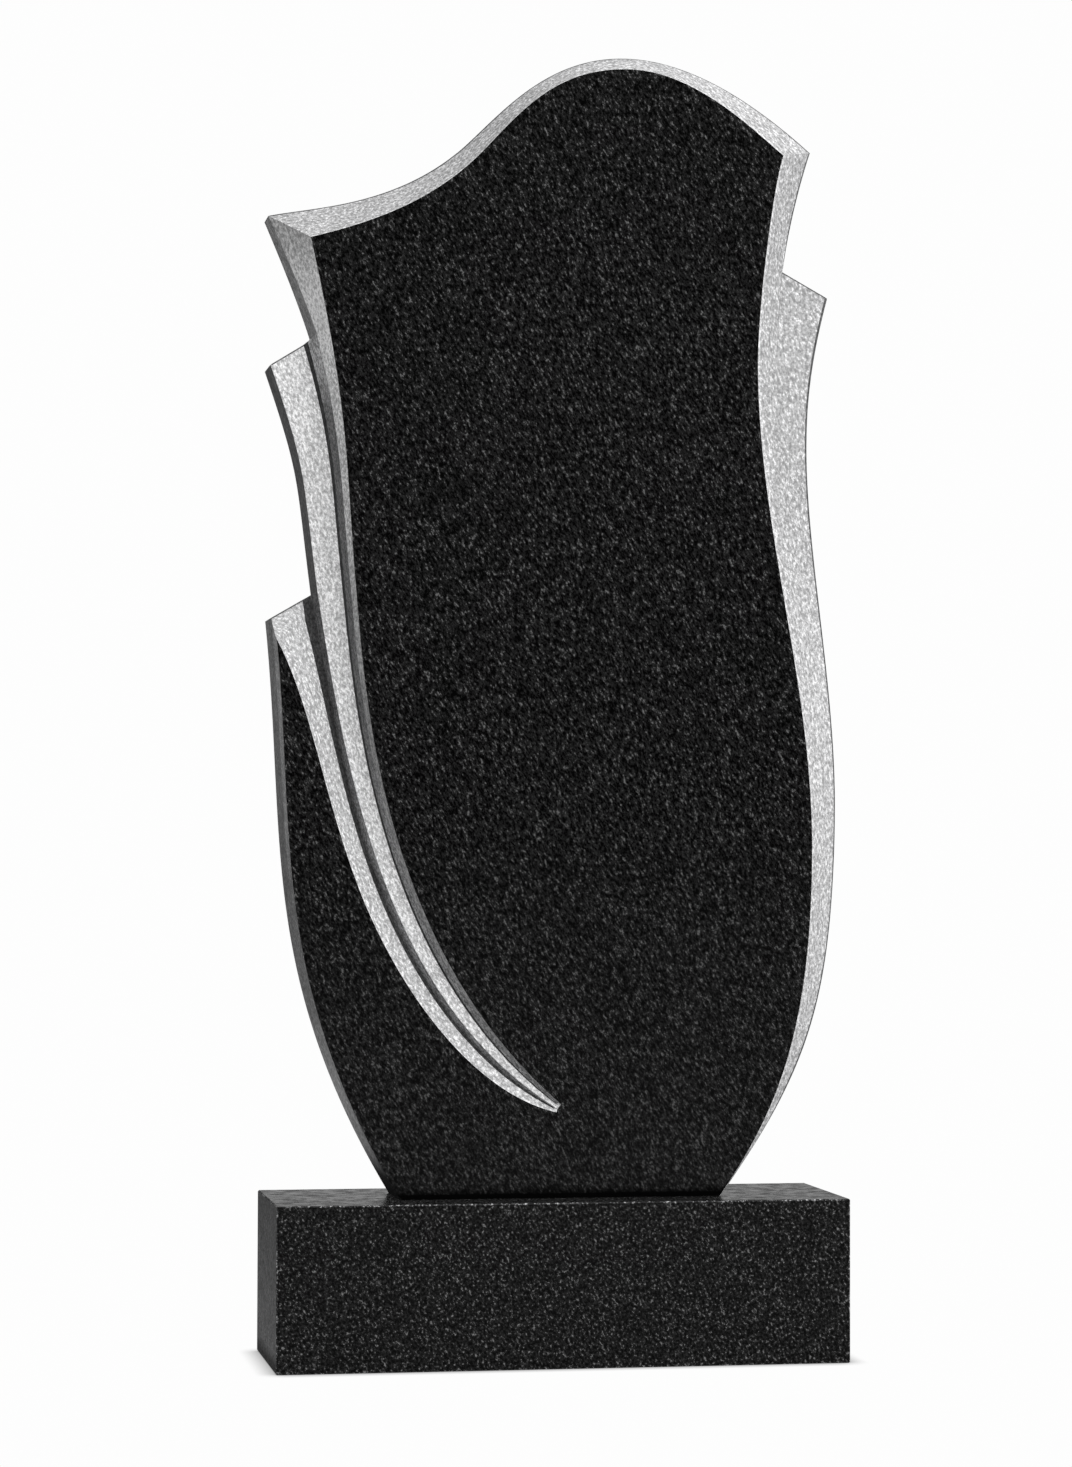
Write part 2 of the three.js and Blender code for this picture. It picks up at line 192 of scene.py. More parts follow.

# Materials of the stele, and those of a broad bevel's side, outer arris, slope and rim. Many carry
# painted light and shade: the kerf and joint greys are painted shadow, the outer edge a painted dark
# line of shade, the left side and edge band darken to painted contact shadow at the foot, the rim is a
# painted highlight, the riser grey is the cut's own dark grey with painted shade by height, and the
# ribbon, bevel and side greys are lit and shaded copies of one frosted or sawn stone.
FINISHES_AND_SHADES = (
    "polished", "ribbon", "bevel", "left_bevel", "rim", "riser", "kerf",
    "side", "left_side", "petal_side", "top_side", "edge_band", "outer_edge", "joint_shade",
)
LEFT_FINISHES_AND_SHADES = ("top_side", "left_bevel", "left_bevel", "left_bevel")
RIGHT_FINISHES_AND_SHADES = ("side", "outer_edge", "bevel", "rim")


class SteleSizes(bpy.types.PropertyGroup):
    """Sizes of the stele that its outline leaves open."""

    spacing: FloatProperty(
        name="Point Spacing", description="Distance between points along the carved lines",
        default=0.0025, min=0.001, max=0.02, unit="LENGTH",
    )
    rim: FloatProperty(
        name="Rim", description="Width of the arris between the polished face and the carving",
        default=0.0009, min=0.0001, max=0.003, unit="LENGTH",
    )
    right_rim: FloatProperty(
        name="Right Rim", description="Width of the smooth strip beside the face on the right",
        default=0.003, min=0.0001, max=0.01, unit="LENGTH",
    )
    outer_edge: FloatProperty(
        name="Outer Edge", description="Width of the arris along the outline's front edge",
        default=0.0024, min=0.0001, max=0.003, unit="LENGTH",
    )
    back_edge: FloatProperty(
        name="Back Edge", description="Width of the arris around the back",
        default=0.001, min=0.0001, max=0.005, unit="LENGTH",
    )


class PlinthSizes(bpy.types.PropertyGroup):
    """Sizes of the plinth that the frame leaves open."""

    arris: FloatProperty(
        name="Arris", description="Width taken off every edge of the plinth",
        default=0.0011, min=0.0002, max=0.01, unit="LENGTH",
    )


class GraniteLooks(bpy.types.PropertyGroup):
    """Grain sizes and colours of the granite, many of whose greys paint light and shade."""

    grain_width: FloatProperty(
        name="Grain Width", description="Width of a grain in the polished face",
        default=0.00225, min=0.0005, max=0.02, unit="LENGTH",
    )
    grain_length: FloatProperty(
        name="Grain Length", description="Length of a grain in the polished face",
        default=0.0043, min=0.0005, max=0.02, unit="LENGTH",
    )
    tool_width: FloatProperty(
        name="Tool Width", description="Width of a fleck in the frosted carving",
        default=0.0028, min=0.0005, max=0.02, unit="LENGTH",
    )
    tool_length: FloatProperty(
        name="Tool Length", description="Length of a fleck in the frosted carving",
        default=0.0038, min=0.0005, max=0.02, unit="LENGTH",
    )
    grain_slant: FloatProperty(
        name="Grain Slant", description="Lean of the stele's grains from upright",
        default=math.radians(-28), subtype="ANGLE", unit="ROTATION",
    )
    coarse_width: FloatProperty(
        name="Coarse Grain Width", description="Width of a grain in the plinth and the sawn sides",
        default=0.0023, min=0.0005, max=0.02, unit="LENGTH",
    )
    coarse_length: FloatProperty(
        name="Coarse Grain Length", description="Length of a grain in the plinth and the sawn sides",
        default=0.0029, min=0.0005, max=0.02, unit="LENGTH",
    )
    # The ribbon, bevel and rim greys are one frosting in lit and shaded copies: the ribbon's lighter
    # grey is painted light, the bevel's darker grey painted shade, and the rim's grey, lighter than the
    # bevels, a painted highlight along the carving's edges.
    ribbon: FloatVectorProperty(
        name="Ribbon", description="Colour of the second petal's ribbon and of the bevel above it",
        default=(0.69, 0.69, 0.694), subtype="COLOR", min=0, max=1,
    )
    bevel: FloatVectorProperty(
        name="Bevel",
        description="Colour of the third petal's ribbon and of the bevels at the top and the right",
        default=(0.5, 0.5, 0.504), subtype="COLOR", min=0, max=1,
    )
    rim: FloatVectorProperty(
        name="Rim", description="Colour of the light arrises",
        default=(0.68, 0.68, 0.685), subtype="COLOR", min=0, max=1,
    )
    # The riser grey is the steep cuts' own darker grey, with more painted shade and light laid on it by
    # height.
    riser: FloatVectorProperty(
        name="Riser", description="Colour of the steep cuts behind the ribbons",
        default=(0.085, 0.085, 0.086), subtype="COLOR", min=0, max=1,
    )
    # The kerf grey is painted shadow in the narrow cuts beside the ribbons and along the wall's base;
    # on the plinth's arrises it is their own dark grey.
    kerf: FloatVectorProperty(
        name="Kerf",
        description="Colour of the narrow cuts beside the ribbons and of the plinth's arrises",
        default=(0.04, 0.04, 0.0405), subtype="COLOR", min=0, max=1,
    )
    # Near black painted contact shadow in the cut at the stele's foot.
    joint_shade: FloatVectorProperty(
        name="Joint", description="Colour of the dark joint at the stele's foot",
        default=(0.001, 0.001, 0.001), subtype="COLOR", min=0, max=1,
    )
    # The side, petal side and top side greys are lit and shaded copies of one sawn stone: the petal
    # side's darker grey is painted shade on the second petal's side, the outer arris and the plinth's
    # sides, and the top side's lighter grey is painted light on the upper left side and the lower left
    # bevel, but a painted shade line along the right petal's fold.
    side: FloatVectorProperty(
        name="Side", description="Colour of the sawn sides and back",
        default=(0.15, 0.15, 0.151), subtype="COLOR", min=0, max=1,
    )
    petal_side: FloatVectorProperty(
        name="Petal Side",
        description="Colour of the second petal's side, the outer arris and the plinth's sides",
        default=(0.1, 0.1, 0.101), subtype="COLOR", min=0, max=1,
    )
    top_side: FloatVectorProperty(
        name="Top Side",
        description="Colour of the upper left side, the lower left bevel and the right petal's fold",
        default=(0.24, 0.24, 0.242), subtype="COLOR", min=0, max=1,
    )


class StageLooks(bpy.types.PropertyGroup):
    """Camera and light of the stage."""

    lens: FloatProperty(
        name="Lens", description="Focal length on a frame 36 mm high",
        default=90, min=10, max=300, unit="CAMERA",
    )
    camera_place: FloatVectorProperty(
        name="Camera Place", description="Where the camera stands",
        default=(-0.5752, -3.1635, 0.4321), subtype="TRANSLATION", unit="LENGTH",
    )
    camera_turn: FloatVectorProperty(
        name="Camera Turn", description="How the camera is turned",
        default=(math.radians(91.988), math.radians(-0.153), math.radians(-10.061)),
        subtype="EULER", unit="ROTATION",
    )
    key_power: FloatProperty(
        name="Key Power", description="Power of the large soft light on the right",
        default=114, min=0, max=2000, unit="POWER",
    )
    fill: FloatProperty(
        name="Fill", description="Strength of the even light from all round",
        default=0.66, min=0, max=5,
    )


# Curves in the stele's plan

def curve_points(chain):
    """Close points along a chain of cubic curves, with their distances from its start."""
    corners = np.array(chain, float)
    t = np.linspace(0, 1, CURVE_STEPS)[:, None]
    points = [corners[:1]]
    for first in range(0, len(corners) - 1, POINTS_OF_CURVE):
        start, leave, arrive, end = corners[first:first + POINTS_OF_CURVE + 1]
        outer = start * (1 - t) ** 3 + end * t ** 3
        inner = 3 * t * (1 - t) * (leave * (1 - t) + arrive * t)
        points.append((outer + inner)[1:])
    points = np.concatenate(points)
    steps = np.linalg.norm(np.diff(points, axis=0), axis=1)
    return points, np.concatenate([[0], np.cumsum(steps)])


def even(count):
    """Shares from nought to one in equal steps."""
    return np.linspace(0, 1, count + 1)


def with_arris(shares, gap):
    """Shares with one more just before the end, for the arris of a petal's tip."""
    return np.insert(shares, -1, 1 - gap)


def sample(chain, shares):
    """Points at shares of a chain's length."""
    points, lengths = curve_points(chain)
    return np.column_stack([np.interp(shares * lengths[-1], lengths, axis) for axis in points.T])


def chain_length(chain):
    """Length of a chain of curves."""
    return curve_points(chain)[1][-1]


def share_at_crossing(chain, a, b):
    """Share of a chain's length at which it crosses the line through two points."""
    points, lengths = curve_points(chain)
    run, rise = np.subtract(b, a)
    side = run * (points[:, 1] - a[1]) - rise * (points[:, 0] - a[0])
    after = np.argmax(np.sign(side) != np.sign(side[0]))
    before = after - 1
    share = side[before] / (side[before] - side[after])
    return (lengths[before] + share * (lengths[after] - lengths[before])) / lengths[-1]


def share_at_height(chain, height):
    """Share of a chain's length at which it passes a height."""
    return share_at_crossing(chain, (0, height), (1, height))


def lerp(start, end, share):
    """Even change from one value to another."""
    return start + (end - start) * share


def through(start, middle, end, share):
    """Smooth change through three values."""
    return (
        start * (1 - share) * (1 - 2 * share)
        + middle * 4 * share * (1 - share)
        + end * share * (2 * share - 1)
    )


def share_between(value, low, high):
    """Share of the way from one value to another, no less than nought and no more than one."""
    return np.clip((value - low) / (high - low), 0, 1)


def smoothstep(value, low, high):
    """Smooth rise from nought to one between two values."""
    share = share_between(value, low, high)
    return share * share * (3 - 2 * share)


def between_lines(start, end, share):
    """Line at a share of the way from one line to another with as many points."""
    return lerp(start, end, np.broadcast_to(share, len(start))[:, None])


# Lines in space

# Columns of a line's points that make its plan
PLAN_COLUMNS = [0, 2]


def carve(plan, depth):
    """Plan points set at a depth below the face."""
    y = np.broadcast_to(depth, len(plan)) - THICKNESS / 2
    return np.column_stack([plan[:, 0], y, plan[:, 1]])


def step_along(line, way, width):
    """Line moved along a way at each point; a way of no length leaves its point in place."""
    length = np.linalg.norm(way, axis=1)
    step = np.minimum(width, ARRIS_SHARE * length)
    share = np.divide(step, length, out=np.zeros(len(line)), where=length > 0)
    return line + way * share[:, None]


def toward(line, neighbour, width):
    """Line moved toward its neighbour."""
    return step_along(line, neighbour - line, width)


def into_face(line, neighbour, width):
    """Line moved within the face's plane, away from its neighbour."""
    return step_along(line, (line - neighbour) * (1, 0, 1), width)


def deeper(line, width):
    """Line moved away from the face."""
    moved = line.copy()
    moved[:, 1] += width
    return moved


def drop_end(line):
    """Sets the last point of a line deeper, for the arris of a petal's tip."""
    line[-1, 1] += PETAL_ARRIS_DEPTH


def tapered(count, width, start=False, end=False):
    """Width of an arris at each station, narrowing to nothing at the ends that are named."""
    station = np.arange(count)
    width = np.full(count, float(width))
    if start:
        width *= np.minimum(station / ARRIS_TAPER, 1)
    if end:
        width *= np.minimum((count - 1 - station) / ARRIS_TAPER, 1)
    return width


class Carving:
    """Strips and flats of one stone, each with its material and painted shade, gathered in millimetres.
    """

    # A strip counts as three surfaces: its own, and an arris at each end
    SURFACES_OF_STRIP = 3

    def __init__(self):
        self.faces = []
        self.surfaces = 0

    def strip(self, left, right, finish_and_shade, start=None, end=None):
        """Smooth surface between two lines; its first and last faces may be arrises of their own."""
        last = len(left) - 2
        own_finish_and_shade = {0: start, last: end}
        own_surface = {0: self.surfaces + 1, last: self.surfaces + 2}
        for i in range(last + 1):
            corners = (left[i], right[i], right[i + 1], left[i + 1])
            arris = own_finish_and_shade.get(i)
            surface = own_surface[i] if arris else self.surfaces
            self.faces.append((corners, arris or finish_and_shade, surface, True))
        self.surfaces += self.SURFACES_OF_STRIP

    def flat(self, ring, finish_and_shade):
        """Flat surface inside a ring of points."""
        self.faces.append((ring, finish_and_shade, self.surfaces, False))
        self.surfaces += 1

    def mesh(self, name, foot):
        """One closed mesh in metres, standing at a height, creased where two surfaces meet."""
        lift = Vector((0, 0, foot))
        made = bmesh.new()
        surface_of = made.faces.layers.int.new("surface")
        for corners, finish_and_shade, surface, smooth in self.faces:
            points = [made.verts.new(Vector(corner) * MILLIMETRE + lift) for corner in corners]
            face = made.faces.new(points)
            face.material_index = FINISHES_AND_SHADES.index(finish_and_shade)
            face.smooth = smooth
            face[surface_of] = surface
        bmesh.ops.remove_doubles(made, verts=made.verts, dist=MERGE_DISTANCE)
        bmesh.ops.recalc_face_normals(made, faces=made.faces)
        for edge in made.edges:
            if len(edge.link_faces) != 2:
                raise RuntimeError(f"{name} is open at {edge.verts[0].co} to {edge.verts[1].co}")
            first, second = edge.link_faces
            edge.smooth = first[surface_of] == second[surface_of]
        made.faces.layers.int.remove(surface_of)
        mesh = bpy.data.meshes.new(name)
        made.to_mesh(mesh)
        made.free()
        return mesh


# Stele

class SteleLines:
    """The stele's lines and surfaces, worked out stretch by stretch round its outline."""

    def __init__(self, sizes):
        self.spacing = sizes.spacing / MILLIMETRE
        self.rim = sizes.rim / MILLIMETRE
        self.right_rim = sizes.right_rim / MILLIMETRE
        self.outer_edge = sizes.outer_edge / MILLIMETRE
        self.back_edge = sizes.back_edge / MILLIMETRE
        self.carving = Carving()
        self.outline = []
        self.face = []

    def count(self, chain, share=1.0):
        """How many steps a chain, or a share of it, is divided into."""
        return max(FEWEST_STEPS, math.ceil(chain_length(chain) * share / self.spacing))

    def back_side(self, plan):
        """Plan points on the back edge of the slab's side."""
        return carve(np.atleast_2d(plan), THICKNESS - self.back_edge)

    def side_wall(self, plan, front, finish_and_shade="side"):
        """Side of the slab behind a front line, and its place in the outline of the back."""
        self.carving.strip(self.back_side(plan), front, finish_and_shade)
        self.outline.append(plan)

    def lower_left(self):
        """Lower left edge, whose narrow bevel runs out to a point at the third petal's tip."""
        apex_share = share_at_height(LOWER_LEFT_EDGE, PANEL_APEX[1])
        below = self.count(LOWER_LEFT_EDGE, apex_share)
        tip_length = chain_length(LOWER_LEFT_EDGE) * (1 - apex_share)
        tip_count = self.count(LOWER_LEFT_EDGE, 1 - apex_share)
        tip_shares = with_arris(even(tip_count), PETAL_ARRIS / tip_length)
        shares = np.concatenate([even(below) * apex_share, lerp(apex_share, 1, tip_shares)[1:]])
        plan = sample(LOWER_LEFT_EDGE, shares)
        ease = np.sin(shares * math.pi / 2)
        depth = lerp(EDGE_BEVEL_DEPTH["foot"], EDGE_BEVEL_DEPTH["third_petal_tip"], ease)
        edge = carve(plan, depth)
        bevel_width = lerp(
            EDGE_BEVEL_WIDTH["foot"], EDGE_BEVEL_WIDTH["third_petal_tip"], shares[:below + 1])
        rim_plan = plan[:below + 1] + np.outer(bevel_width, (1, 0))
        rim_plan[-1] = PANEL_APEX
        rim = carve(rim_plan, 0)
        tip_edge = lerp(rim[-1], edge[-1], tip_shares[:, None])
        drop_end(edge)
        drop_end(tip_edge)
        width = tapered(below + 1, self.rim, end=True)
        beside = edge[:below + 1]
        rim_side = toward(rim, beside, width)
        rim_face = into_face(rim, beside, width * FACE_RIM_SHARE)
        # The left side and its edge band darken to painted contact shadow at the foot, and their greys
        # rise and fall with height as painted light and shade.
        self.side_wall(plan, edge, "left_side")
        self.carving.strip(edge, np.concatenate([rim_side, tip_edge[1:]]), "edge_band")
        self.carving.strip(rim_side, rim_face, "edge_band")
        self.face.append(rim_face[JOINT_STATIONS:])
        self.joint_left = rim_face[:JOINT_STATIONS + 1]
        self.foot_left = [edge[0], rim_side[0], rim_face[0]]
        return tip_edge

    def ribbons(self, tip_edge):
        """Third petal, kerf, second petal and the wall up to the face, from their square end."""
        panel_count = self.count(PANEL_EDGE)
        lower = panel_count + len(tip_edge) - 1
        upper = self.count(SECOND_PETAL_EDGE) + 1
        lower_meeting = share_at_crossing(FACE_SIDE, THIRD_PETAL_TIP, LOWER_NOTCH)
        upper_meeting = share_at_crossing(FACE_SIDE, SECOND_PETAL_TIP, UPPER_NOTCH)
        low = with_arris(even(lower - 1), PETAL_ARRIS / chain_length(RIDGE))
        high = with_arris(even(upper - 1), PETAL_ARRIS / chain_length(SECOND_PETAL_EDGE))
        ramp = np.minimum(np.arange(lower + 1) * self.spacing / RIBBON_RAMP, 1)

        # Guides in the plan
        panel = carve(sample(PANEL_EDGE, even(panel_count)), 0)
        petal_edge = np.concatenate([panel, tip_edge[1:]])
        petal_plan = petal_edge[:, PLAN_COLUMNS]
        low_ridge = sample(RIDGE, low)
        low_face = sample(FACE_SIDE, low * lower_meeting)
        high_ridge = sample(SECOND_PETAL_EDGE, high)
        high_face = sample(FACE_SIDE, lerp(lower_meeting, upper_meeting, high))

        # Lines of the third petal and the kerf
        outer_share = lerp(OUTER_VALLEY_SHARE["end"], OUTER_VALLEY_SHARE["lower_notch"], low)
        outer_depth = lerp(OUTER_VALLEY_DEPTH["end"], OUTER_VALLEY_DEPTH["lower_notch"], low)
        kerf_share = lerp(KERF_SHARE["end"], KERF_SHARE["lower_notch"], low)
        kerf_depth = outer_depth + lerp(KERF_EXTRA_DEPTH["end"], KERF_EXTRA_DEPTH["lower_notch"], low)
        outer_valley = carve(between_lines(petal_plan, low_ridge, outer_share), outer_depth * ramp)
        kerf = carve(between_lines(petal_plan, low_ridge, kerf_share), kerf_depth * ramp)
        drop_end(outer_valley)
        drop_end(kerf)

        # Lines of the second petal and the wall, below and above the lower notch
        ridge_depth = np.concatenate([
            lerp(RIDGE_DEPTH["end"], RIDGE_DEPTH["lower_notch"], low * low) * ramp,
            lerp(RIDGE_DEPTH["lower_notch"], RIDGE_DEPTH["upper_notch"], high)[1:],
        ])
        low_valley_share = through(*LOWER_VALLEY_SHARE.values(), low)
        low_valley_depth = lerp(INNER_VALLEY_DEPTH["end"], INNER_VALLEY_DEPTH["lower_notch"], low)
        high_valley_share = through(*UPPER_VALLEY_SHARE.values(), high)
        valley_share = np.concatenate([low_valley_share, high_valley_share[1:]])
        valley_depth = np.concatenate([
            low_valley_depth * ramp,
            lerp(INNER_VALLEY_DEPTH["lower_notch"], INNER_VALLEY_DEPTH["upper_notch"], high)[1:],
        ])
        straight_wall = low_valley_depth * (1 - WALL_BREAK_SHARE) / (1 - low_valley_share)
        notch_gap = np.linalg.norm(np.subtract(UPPER_NOTCH, SECOND_PETAL_TIP))
        notch_share = notch_gap / np.linalg.norm(high_face[-1] - SECOND_PETAL_TIP)
        break_share = np.concatenate([
            np.full(lower + 1, WALL_BREAK_SHARE),
            lerp(WALL_BREAK_SHARE, notch_share, high)[1:],
        ])
        break_depth = np.concatenate([
            np.minimum(WALL_BREAK_DEPTH["lower_notch"], straight_wall) * ramp,
            lerp(WALL_BREAK_DEPTH["lower_notch"], WALL_BREAK_DEPTH["upper_notch"], high * high)[1:],
        ])
        ridge_plan = np.concatenate([low_ridge, high_ridge[1:]])
        face_plan = np.concatenate([low_face, high_face[1:]])
        ridge = carve(ridge_plan, ridge_depth)
        inner_valley = carve(between_lines(ridge_plan, face_plan, valley_share), valley_depth)
        wall_break = carve(between_lines(ridge_plan, face_plan, break_share), break_depth)
        face = carve(face_plan, 0)
        drop_end(ridge)
        drop_end(inner_valley)
        shade_line = between_lines(inner_valley, wall_break, SHADE_LINE_SHARE)

        # Arrises
        petal_rim = np.concatenate([
            tapered(panel_count + 1, self.rim, start=True, end=True), np.zeros(len(tip_edge) - 1),
        ])
        ridge_rim = tapered(len(ridge), self.rim, start=True)
        petal_inside = toward(petal_edge, outer_valley, petal_rim)
        petal_face = into_face(petal_edge, outer_valley, petal_rim * FACE_RIM_SHARE)
        ridge_side = deeper(ridge, ridge_rim / 2)
        ridge_inside = toward(ridge, inner_valley, ridge_rim)
        face_wall = toward(face, wall_break, ridge_rim)
        face_inside = into_face(face, wall_break, ridge_rim * FACE_RIM_SHARE)

        strip = self.carving.strip
        strip(petal_face, petal_inside, "rim")
        strip(petal_inside, outer_valley, "bevel", start="rim", end="outer_edge")
        # The kerf facet beside the third petal is painted dark as shadow, though it faces the light.
        strip(outer_valley, kerf, "kerf", start="rim")
        strip(kerf, ridge_side[:lower + 1], "riser", start="rim")
        strip(ridge_side, ridge_inside, "rim")
        strip(ridge_inside, inner_valley, "ribbon", start="rim", end="outer_edge")
        # Below the shade line the wall's base is painted dark as shade; the wall is one surface there,
        # with no groove cut.
        strip(inner_valley, shade_line, "kerf", start="rim")
        strip(shade_line, wall_break, "riser", start="rim")
        strip(wall_break, face_wall, "left_bevel")
        strip(face_wall, face_inside, "left_bevel")

        # Wall of the lower notch, side of the second petal, wall of the upper notch
        self.carving.flat([
            petal_edge[-1], outer_valley[-1], kerf[-1], ridge_side[lower],
            *self.back_side(LOWER_NOTCH), *self.back_side(THIRD_PETAL_TIP),
        ], "side")
        self.side_wall(high_ridge, ridge_side[lower:], "petal_side")
        self.carving.flat([
            ridge_side[-1], ridge_inside[-1], inner_valley[-1], shade_line[-1], wall_break[-1],
            *self.back_side(UPPER_NOTCH), *self.back_side(SECOND_PETAL_TIP),
        ], "side")
        square_end = [line[0] for line in (outer_valley, kerf, ridge, inner_valley, shade_line, wall_break)]
        self.face += [petal_face[panel_count - 1::-1], np.array(square_end), face_inside]
        return upper_meeting

    def bevel(self, outline_plan, depth, face_plan, rim, finishes_and_shades, **taper):
        """Broad bevel from the outline's front edge up to the face."""
        side_finish_and_shade, edge_finish_and_shade, finish_and_shade, rim_finish_and_shade = finishes_and_shades
        edge = carve(outline_plan, depth)
        face = carve(face_plan, 0)
        width = tapered(len(edge), self.outer_edge, **taper)
        edge_side = deeper(edge, width * EDGE_DROP_SHARE)
        edge_inside = toward(edge, face, width)
        face_bevel = toward(face, edge, rim)
        face_inside = into_face(face, edge, self.rim * FACE_RIM_SHARE)
        self.side_wall(outline_plan, edge_side, side_finish_and_shade)
        self.carving.strip(edge_side, edge_inside, edge_finish_and_shade)
        self.carving.strip(edge_inside, face_bevel, finish_and_shade)
        self.carving.strip(face_bevel, face_inside, rim_finish_and_shade)
        self.face.append(face_inside)

    def upper_edges(self, upper_meeting):
        """Bevels of the upper left side, the top and the upper right side, mitred at the corners."""
        share = even(self.count(UPPER_LEFT_EDGE))
        self.bevel(
            sample(UPPER_LEFT_EDGE, share),
            lerp(BEVEL_DEPTH["upper_notch"], BEVEL_DEPTH["top_left"], share),
            sample(FACE_SIDE, lerp(upper_meeting, 1, share)),
            self.rim, LEFT_FINISHES_AND_SHADES, start=True)
        share = even(self.count(TOP_EDGE))
        plan = sample(TOP_EDGE, share)
        past_shoulder = smoothstep(plan[:, 0], TOP_LEFT[0], SHOULDER[0])
        past_crest = smoothstep(plan[:, 0], CREST[0], TOP_RIGHT[0])
        self.bevel(
            plan, lerp(BEVEL_DEPTH["top_left"], BEVEL_DEPTH["crest"], past_shoulder),
            sample(FACE_TOP, share),
            lerp(self.rim, self.right_rim, past_crest), RIGHT_FINISHES_AND_SHADES)
        share = even(self.count(UPPER_RIGHT_EDGE))
        notch_level = share_at_height(FACE_RIGHT, RIGHT_NOTCH[1])
        self.bevel(
            sample(UPPER_RIGHT_EDGE, share),
            lerp(BEVEL_DEPTH["crest"], BEVEL_DEPTH["right_notch"], share),
            sample(FACE_RIGHT, share * notch_level),
            self.right_rim, RIGHT_FINISHES_AND_SHADES, end=True)

    def lower_right(self):
        """Right petal with its fading fold, then waist, hip and foot."""
        length = chain_length(LOWER_RIGHT_EDGE)
        shares = 1 - with_arris(even(self.count(LOWER_RIGHT_EDGE)), PETAL_ARRIS / length)[::-1]
        notch_level = share_at_height(FACE_RIGHT, RIGHT_NOTCH[1])
        plan = sample(LOWER_RIGHT_EDGE, shares)
        face_plan = sample(FACE_RIGHT, lerp(notch_level, 1, shares))
        petal = share_between(plan[:, 1], FOLD_END_HEIGHT, RIGHT_PETAL_TIP[1])
        foot_taper = smoothstep(plan[:, 1], 0, RIGHT_TAPER_HEIGHT)
        bevel_depth = lerp(BEVEL_DEPTH["foot"], BEVEL_DEPTH["crest"], foot_taper)
        depth = lerp(bevel_depth, RIGHT_PETAL_DEPTH, petal)
        beside_fold = share_between(face_plan[:, 1], FOLD_END_HEIGHT, RIGHT_NOTCH[1])
        share = lerp(FOLD_SHARE["end"], FOLD_SHARE["notch"], beside_fold)
        fold_plan = between_lines(face_plan, plan, share)
        fold_plan += np.subtract(RIGHT_NOTCH, fold_plan[0]) * beside_fold[:, None]
        extra = (BEVEL_DEPTH["right_notch"] - share[0] * depth[0]) * beside_fold ** FOLD_FADE
        edge = carve(plan, depth)
        fold = carve(fold_plan, share * depth + extra)
        face = carve(face_plan, 0)
        drop_end(edge[::-1])
        edge_side = deeper(edge, self.outer_edge * EDGE_DROP_SHARE)
        edge_inside = toward(edge, fold, self.outer_edge)
        fold_inside = toward(fold, face, FOLD_LINE * beside_fold * (1 - np.isclose(beside_fold, 1)))
        face_bevel = toward(face, fold, self.right_rim)
        face_inside = into_face(face, fold, self.rim * FACE_RIM_SHARE)
        self.carving.flat([
            fold[0], edge_inside[0], edge_side[0],
            *self.back_side(RIGHT_PETAL_TIP), *self.back_side(RIGHT_NOTCH),
        ], "side")
        self.side_wall(plan, edge_side)
        # The outer edge strip is painted dark as shade along the outline, and the fold strip, in the
        # bevel's own plane, is a painted shade line along the fold.
        self.carving.strip(edge_side, edge_inside, "outer_edge")
        self.carving.strip(edge_inside, fold, "bevel", start="outer_edge")
        self.carving.strip(fold, fold_inside, "top_side")
        self.carving.strip(fold_inside, face_bevel, "bevel")
        self.carving.strip(face_bevel, face_inside, "rim")
        self.face.append(face_inside[:-JOINT_STATIONS])
        self.joint_right = face_inside[-JOINT_STATIONS - 1:]
        self.foot_right = [face_inside[-1], face_bevel[-1], fold[-1], edge_inside[-1], edge_side[-1]]

    def flats(self):
        """Polished face with the cut below it, painted near black as contact shadow, back with its
        arris, and foot.
        """
        face = np.concatenate(self.face)
        self.carving.flat(face, "polished")
        inner_left = self.joint_left[0] + (JOINT_DEPTH, JOINT_DEPTH, 0)
        inner_right = self.joint_right[-1] + (-JOINT_DEPTH, JOINT_DEPTH, 0)
        # The joint's faces are painted near black as contact shadow.
        self.carving.flat([face[0], face[-1], inner_right, inner_left], "joint_shade")
        self.carving.flat([*self.joint_left, inner_left], "joint_shade")
        self.carving.flat([*self.joint_right, inner_right], "joint_shade")
        ring = np.concatenate(self.outline)
        apart = np.linalg.norm(ring - np.roll(ring, 1, axis=0), axis=1)
        ring = ring[apart > 2 * MERGE_DISTANCE / MILLIMETRE]
        way = np.roll(ring, -1, axis=0) - np.roll(ring, 1, axis=0)
        inward = np.column_stack([way[:, 1], -way[:, 0]])
        inward /= np.linalg.norm(inward, axis=1, keepdims=True)
        side = self.back_side(ring)
        back = carve(ring + inward * self.back_edge, THICKNESS)
        around = [*range(len(ring)), 0]
        self.carving.strip(side[around], back[around], "side")
        self.carving.flat(back, "side")
        self.carving.flat([
            *self.foot_left, inner_left, inner_right, *self.foot_right,
            *self.back_side(FOOT_RIGHT), *self.back_side(FOOT_LEFT),
        ], "side")

    def mesh(self):
        """The whole stele as one closed mesh."""
        tip_edge = self.lower_left()
        upper_meeting = self.ribbons(tip_edge)
        self.upper_edges(upper_meeting)
        self.lower_right()
        self.flats()
        return self.carving.mesh("stele_carved", STELE_LOW.z)


# Nodes and materials

# Places of the colour sockets on a Mix node
MIX_SHARE = 0
MIX_FIRST = 6
MIX_SECOND = 7
MIX_RESULT = 2

# Noise of the grains and the clouds, and a cloud's size and a grain's height in metres
NOISE_DETAIL = 3.0
NOISE_ROUGHNESS = 0.75
CLOUD_SIZE = 0.012
BUMP_DISTANCE = 0.0004

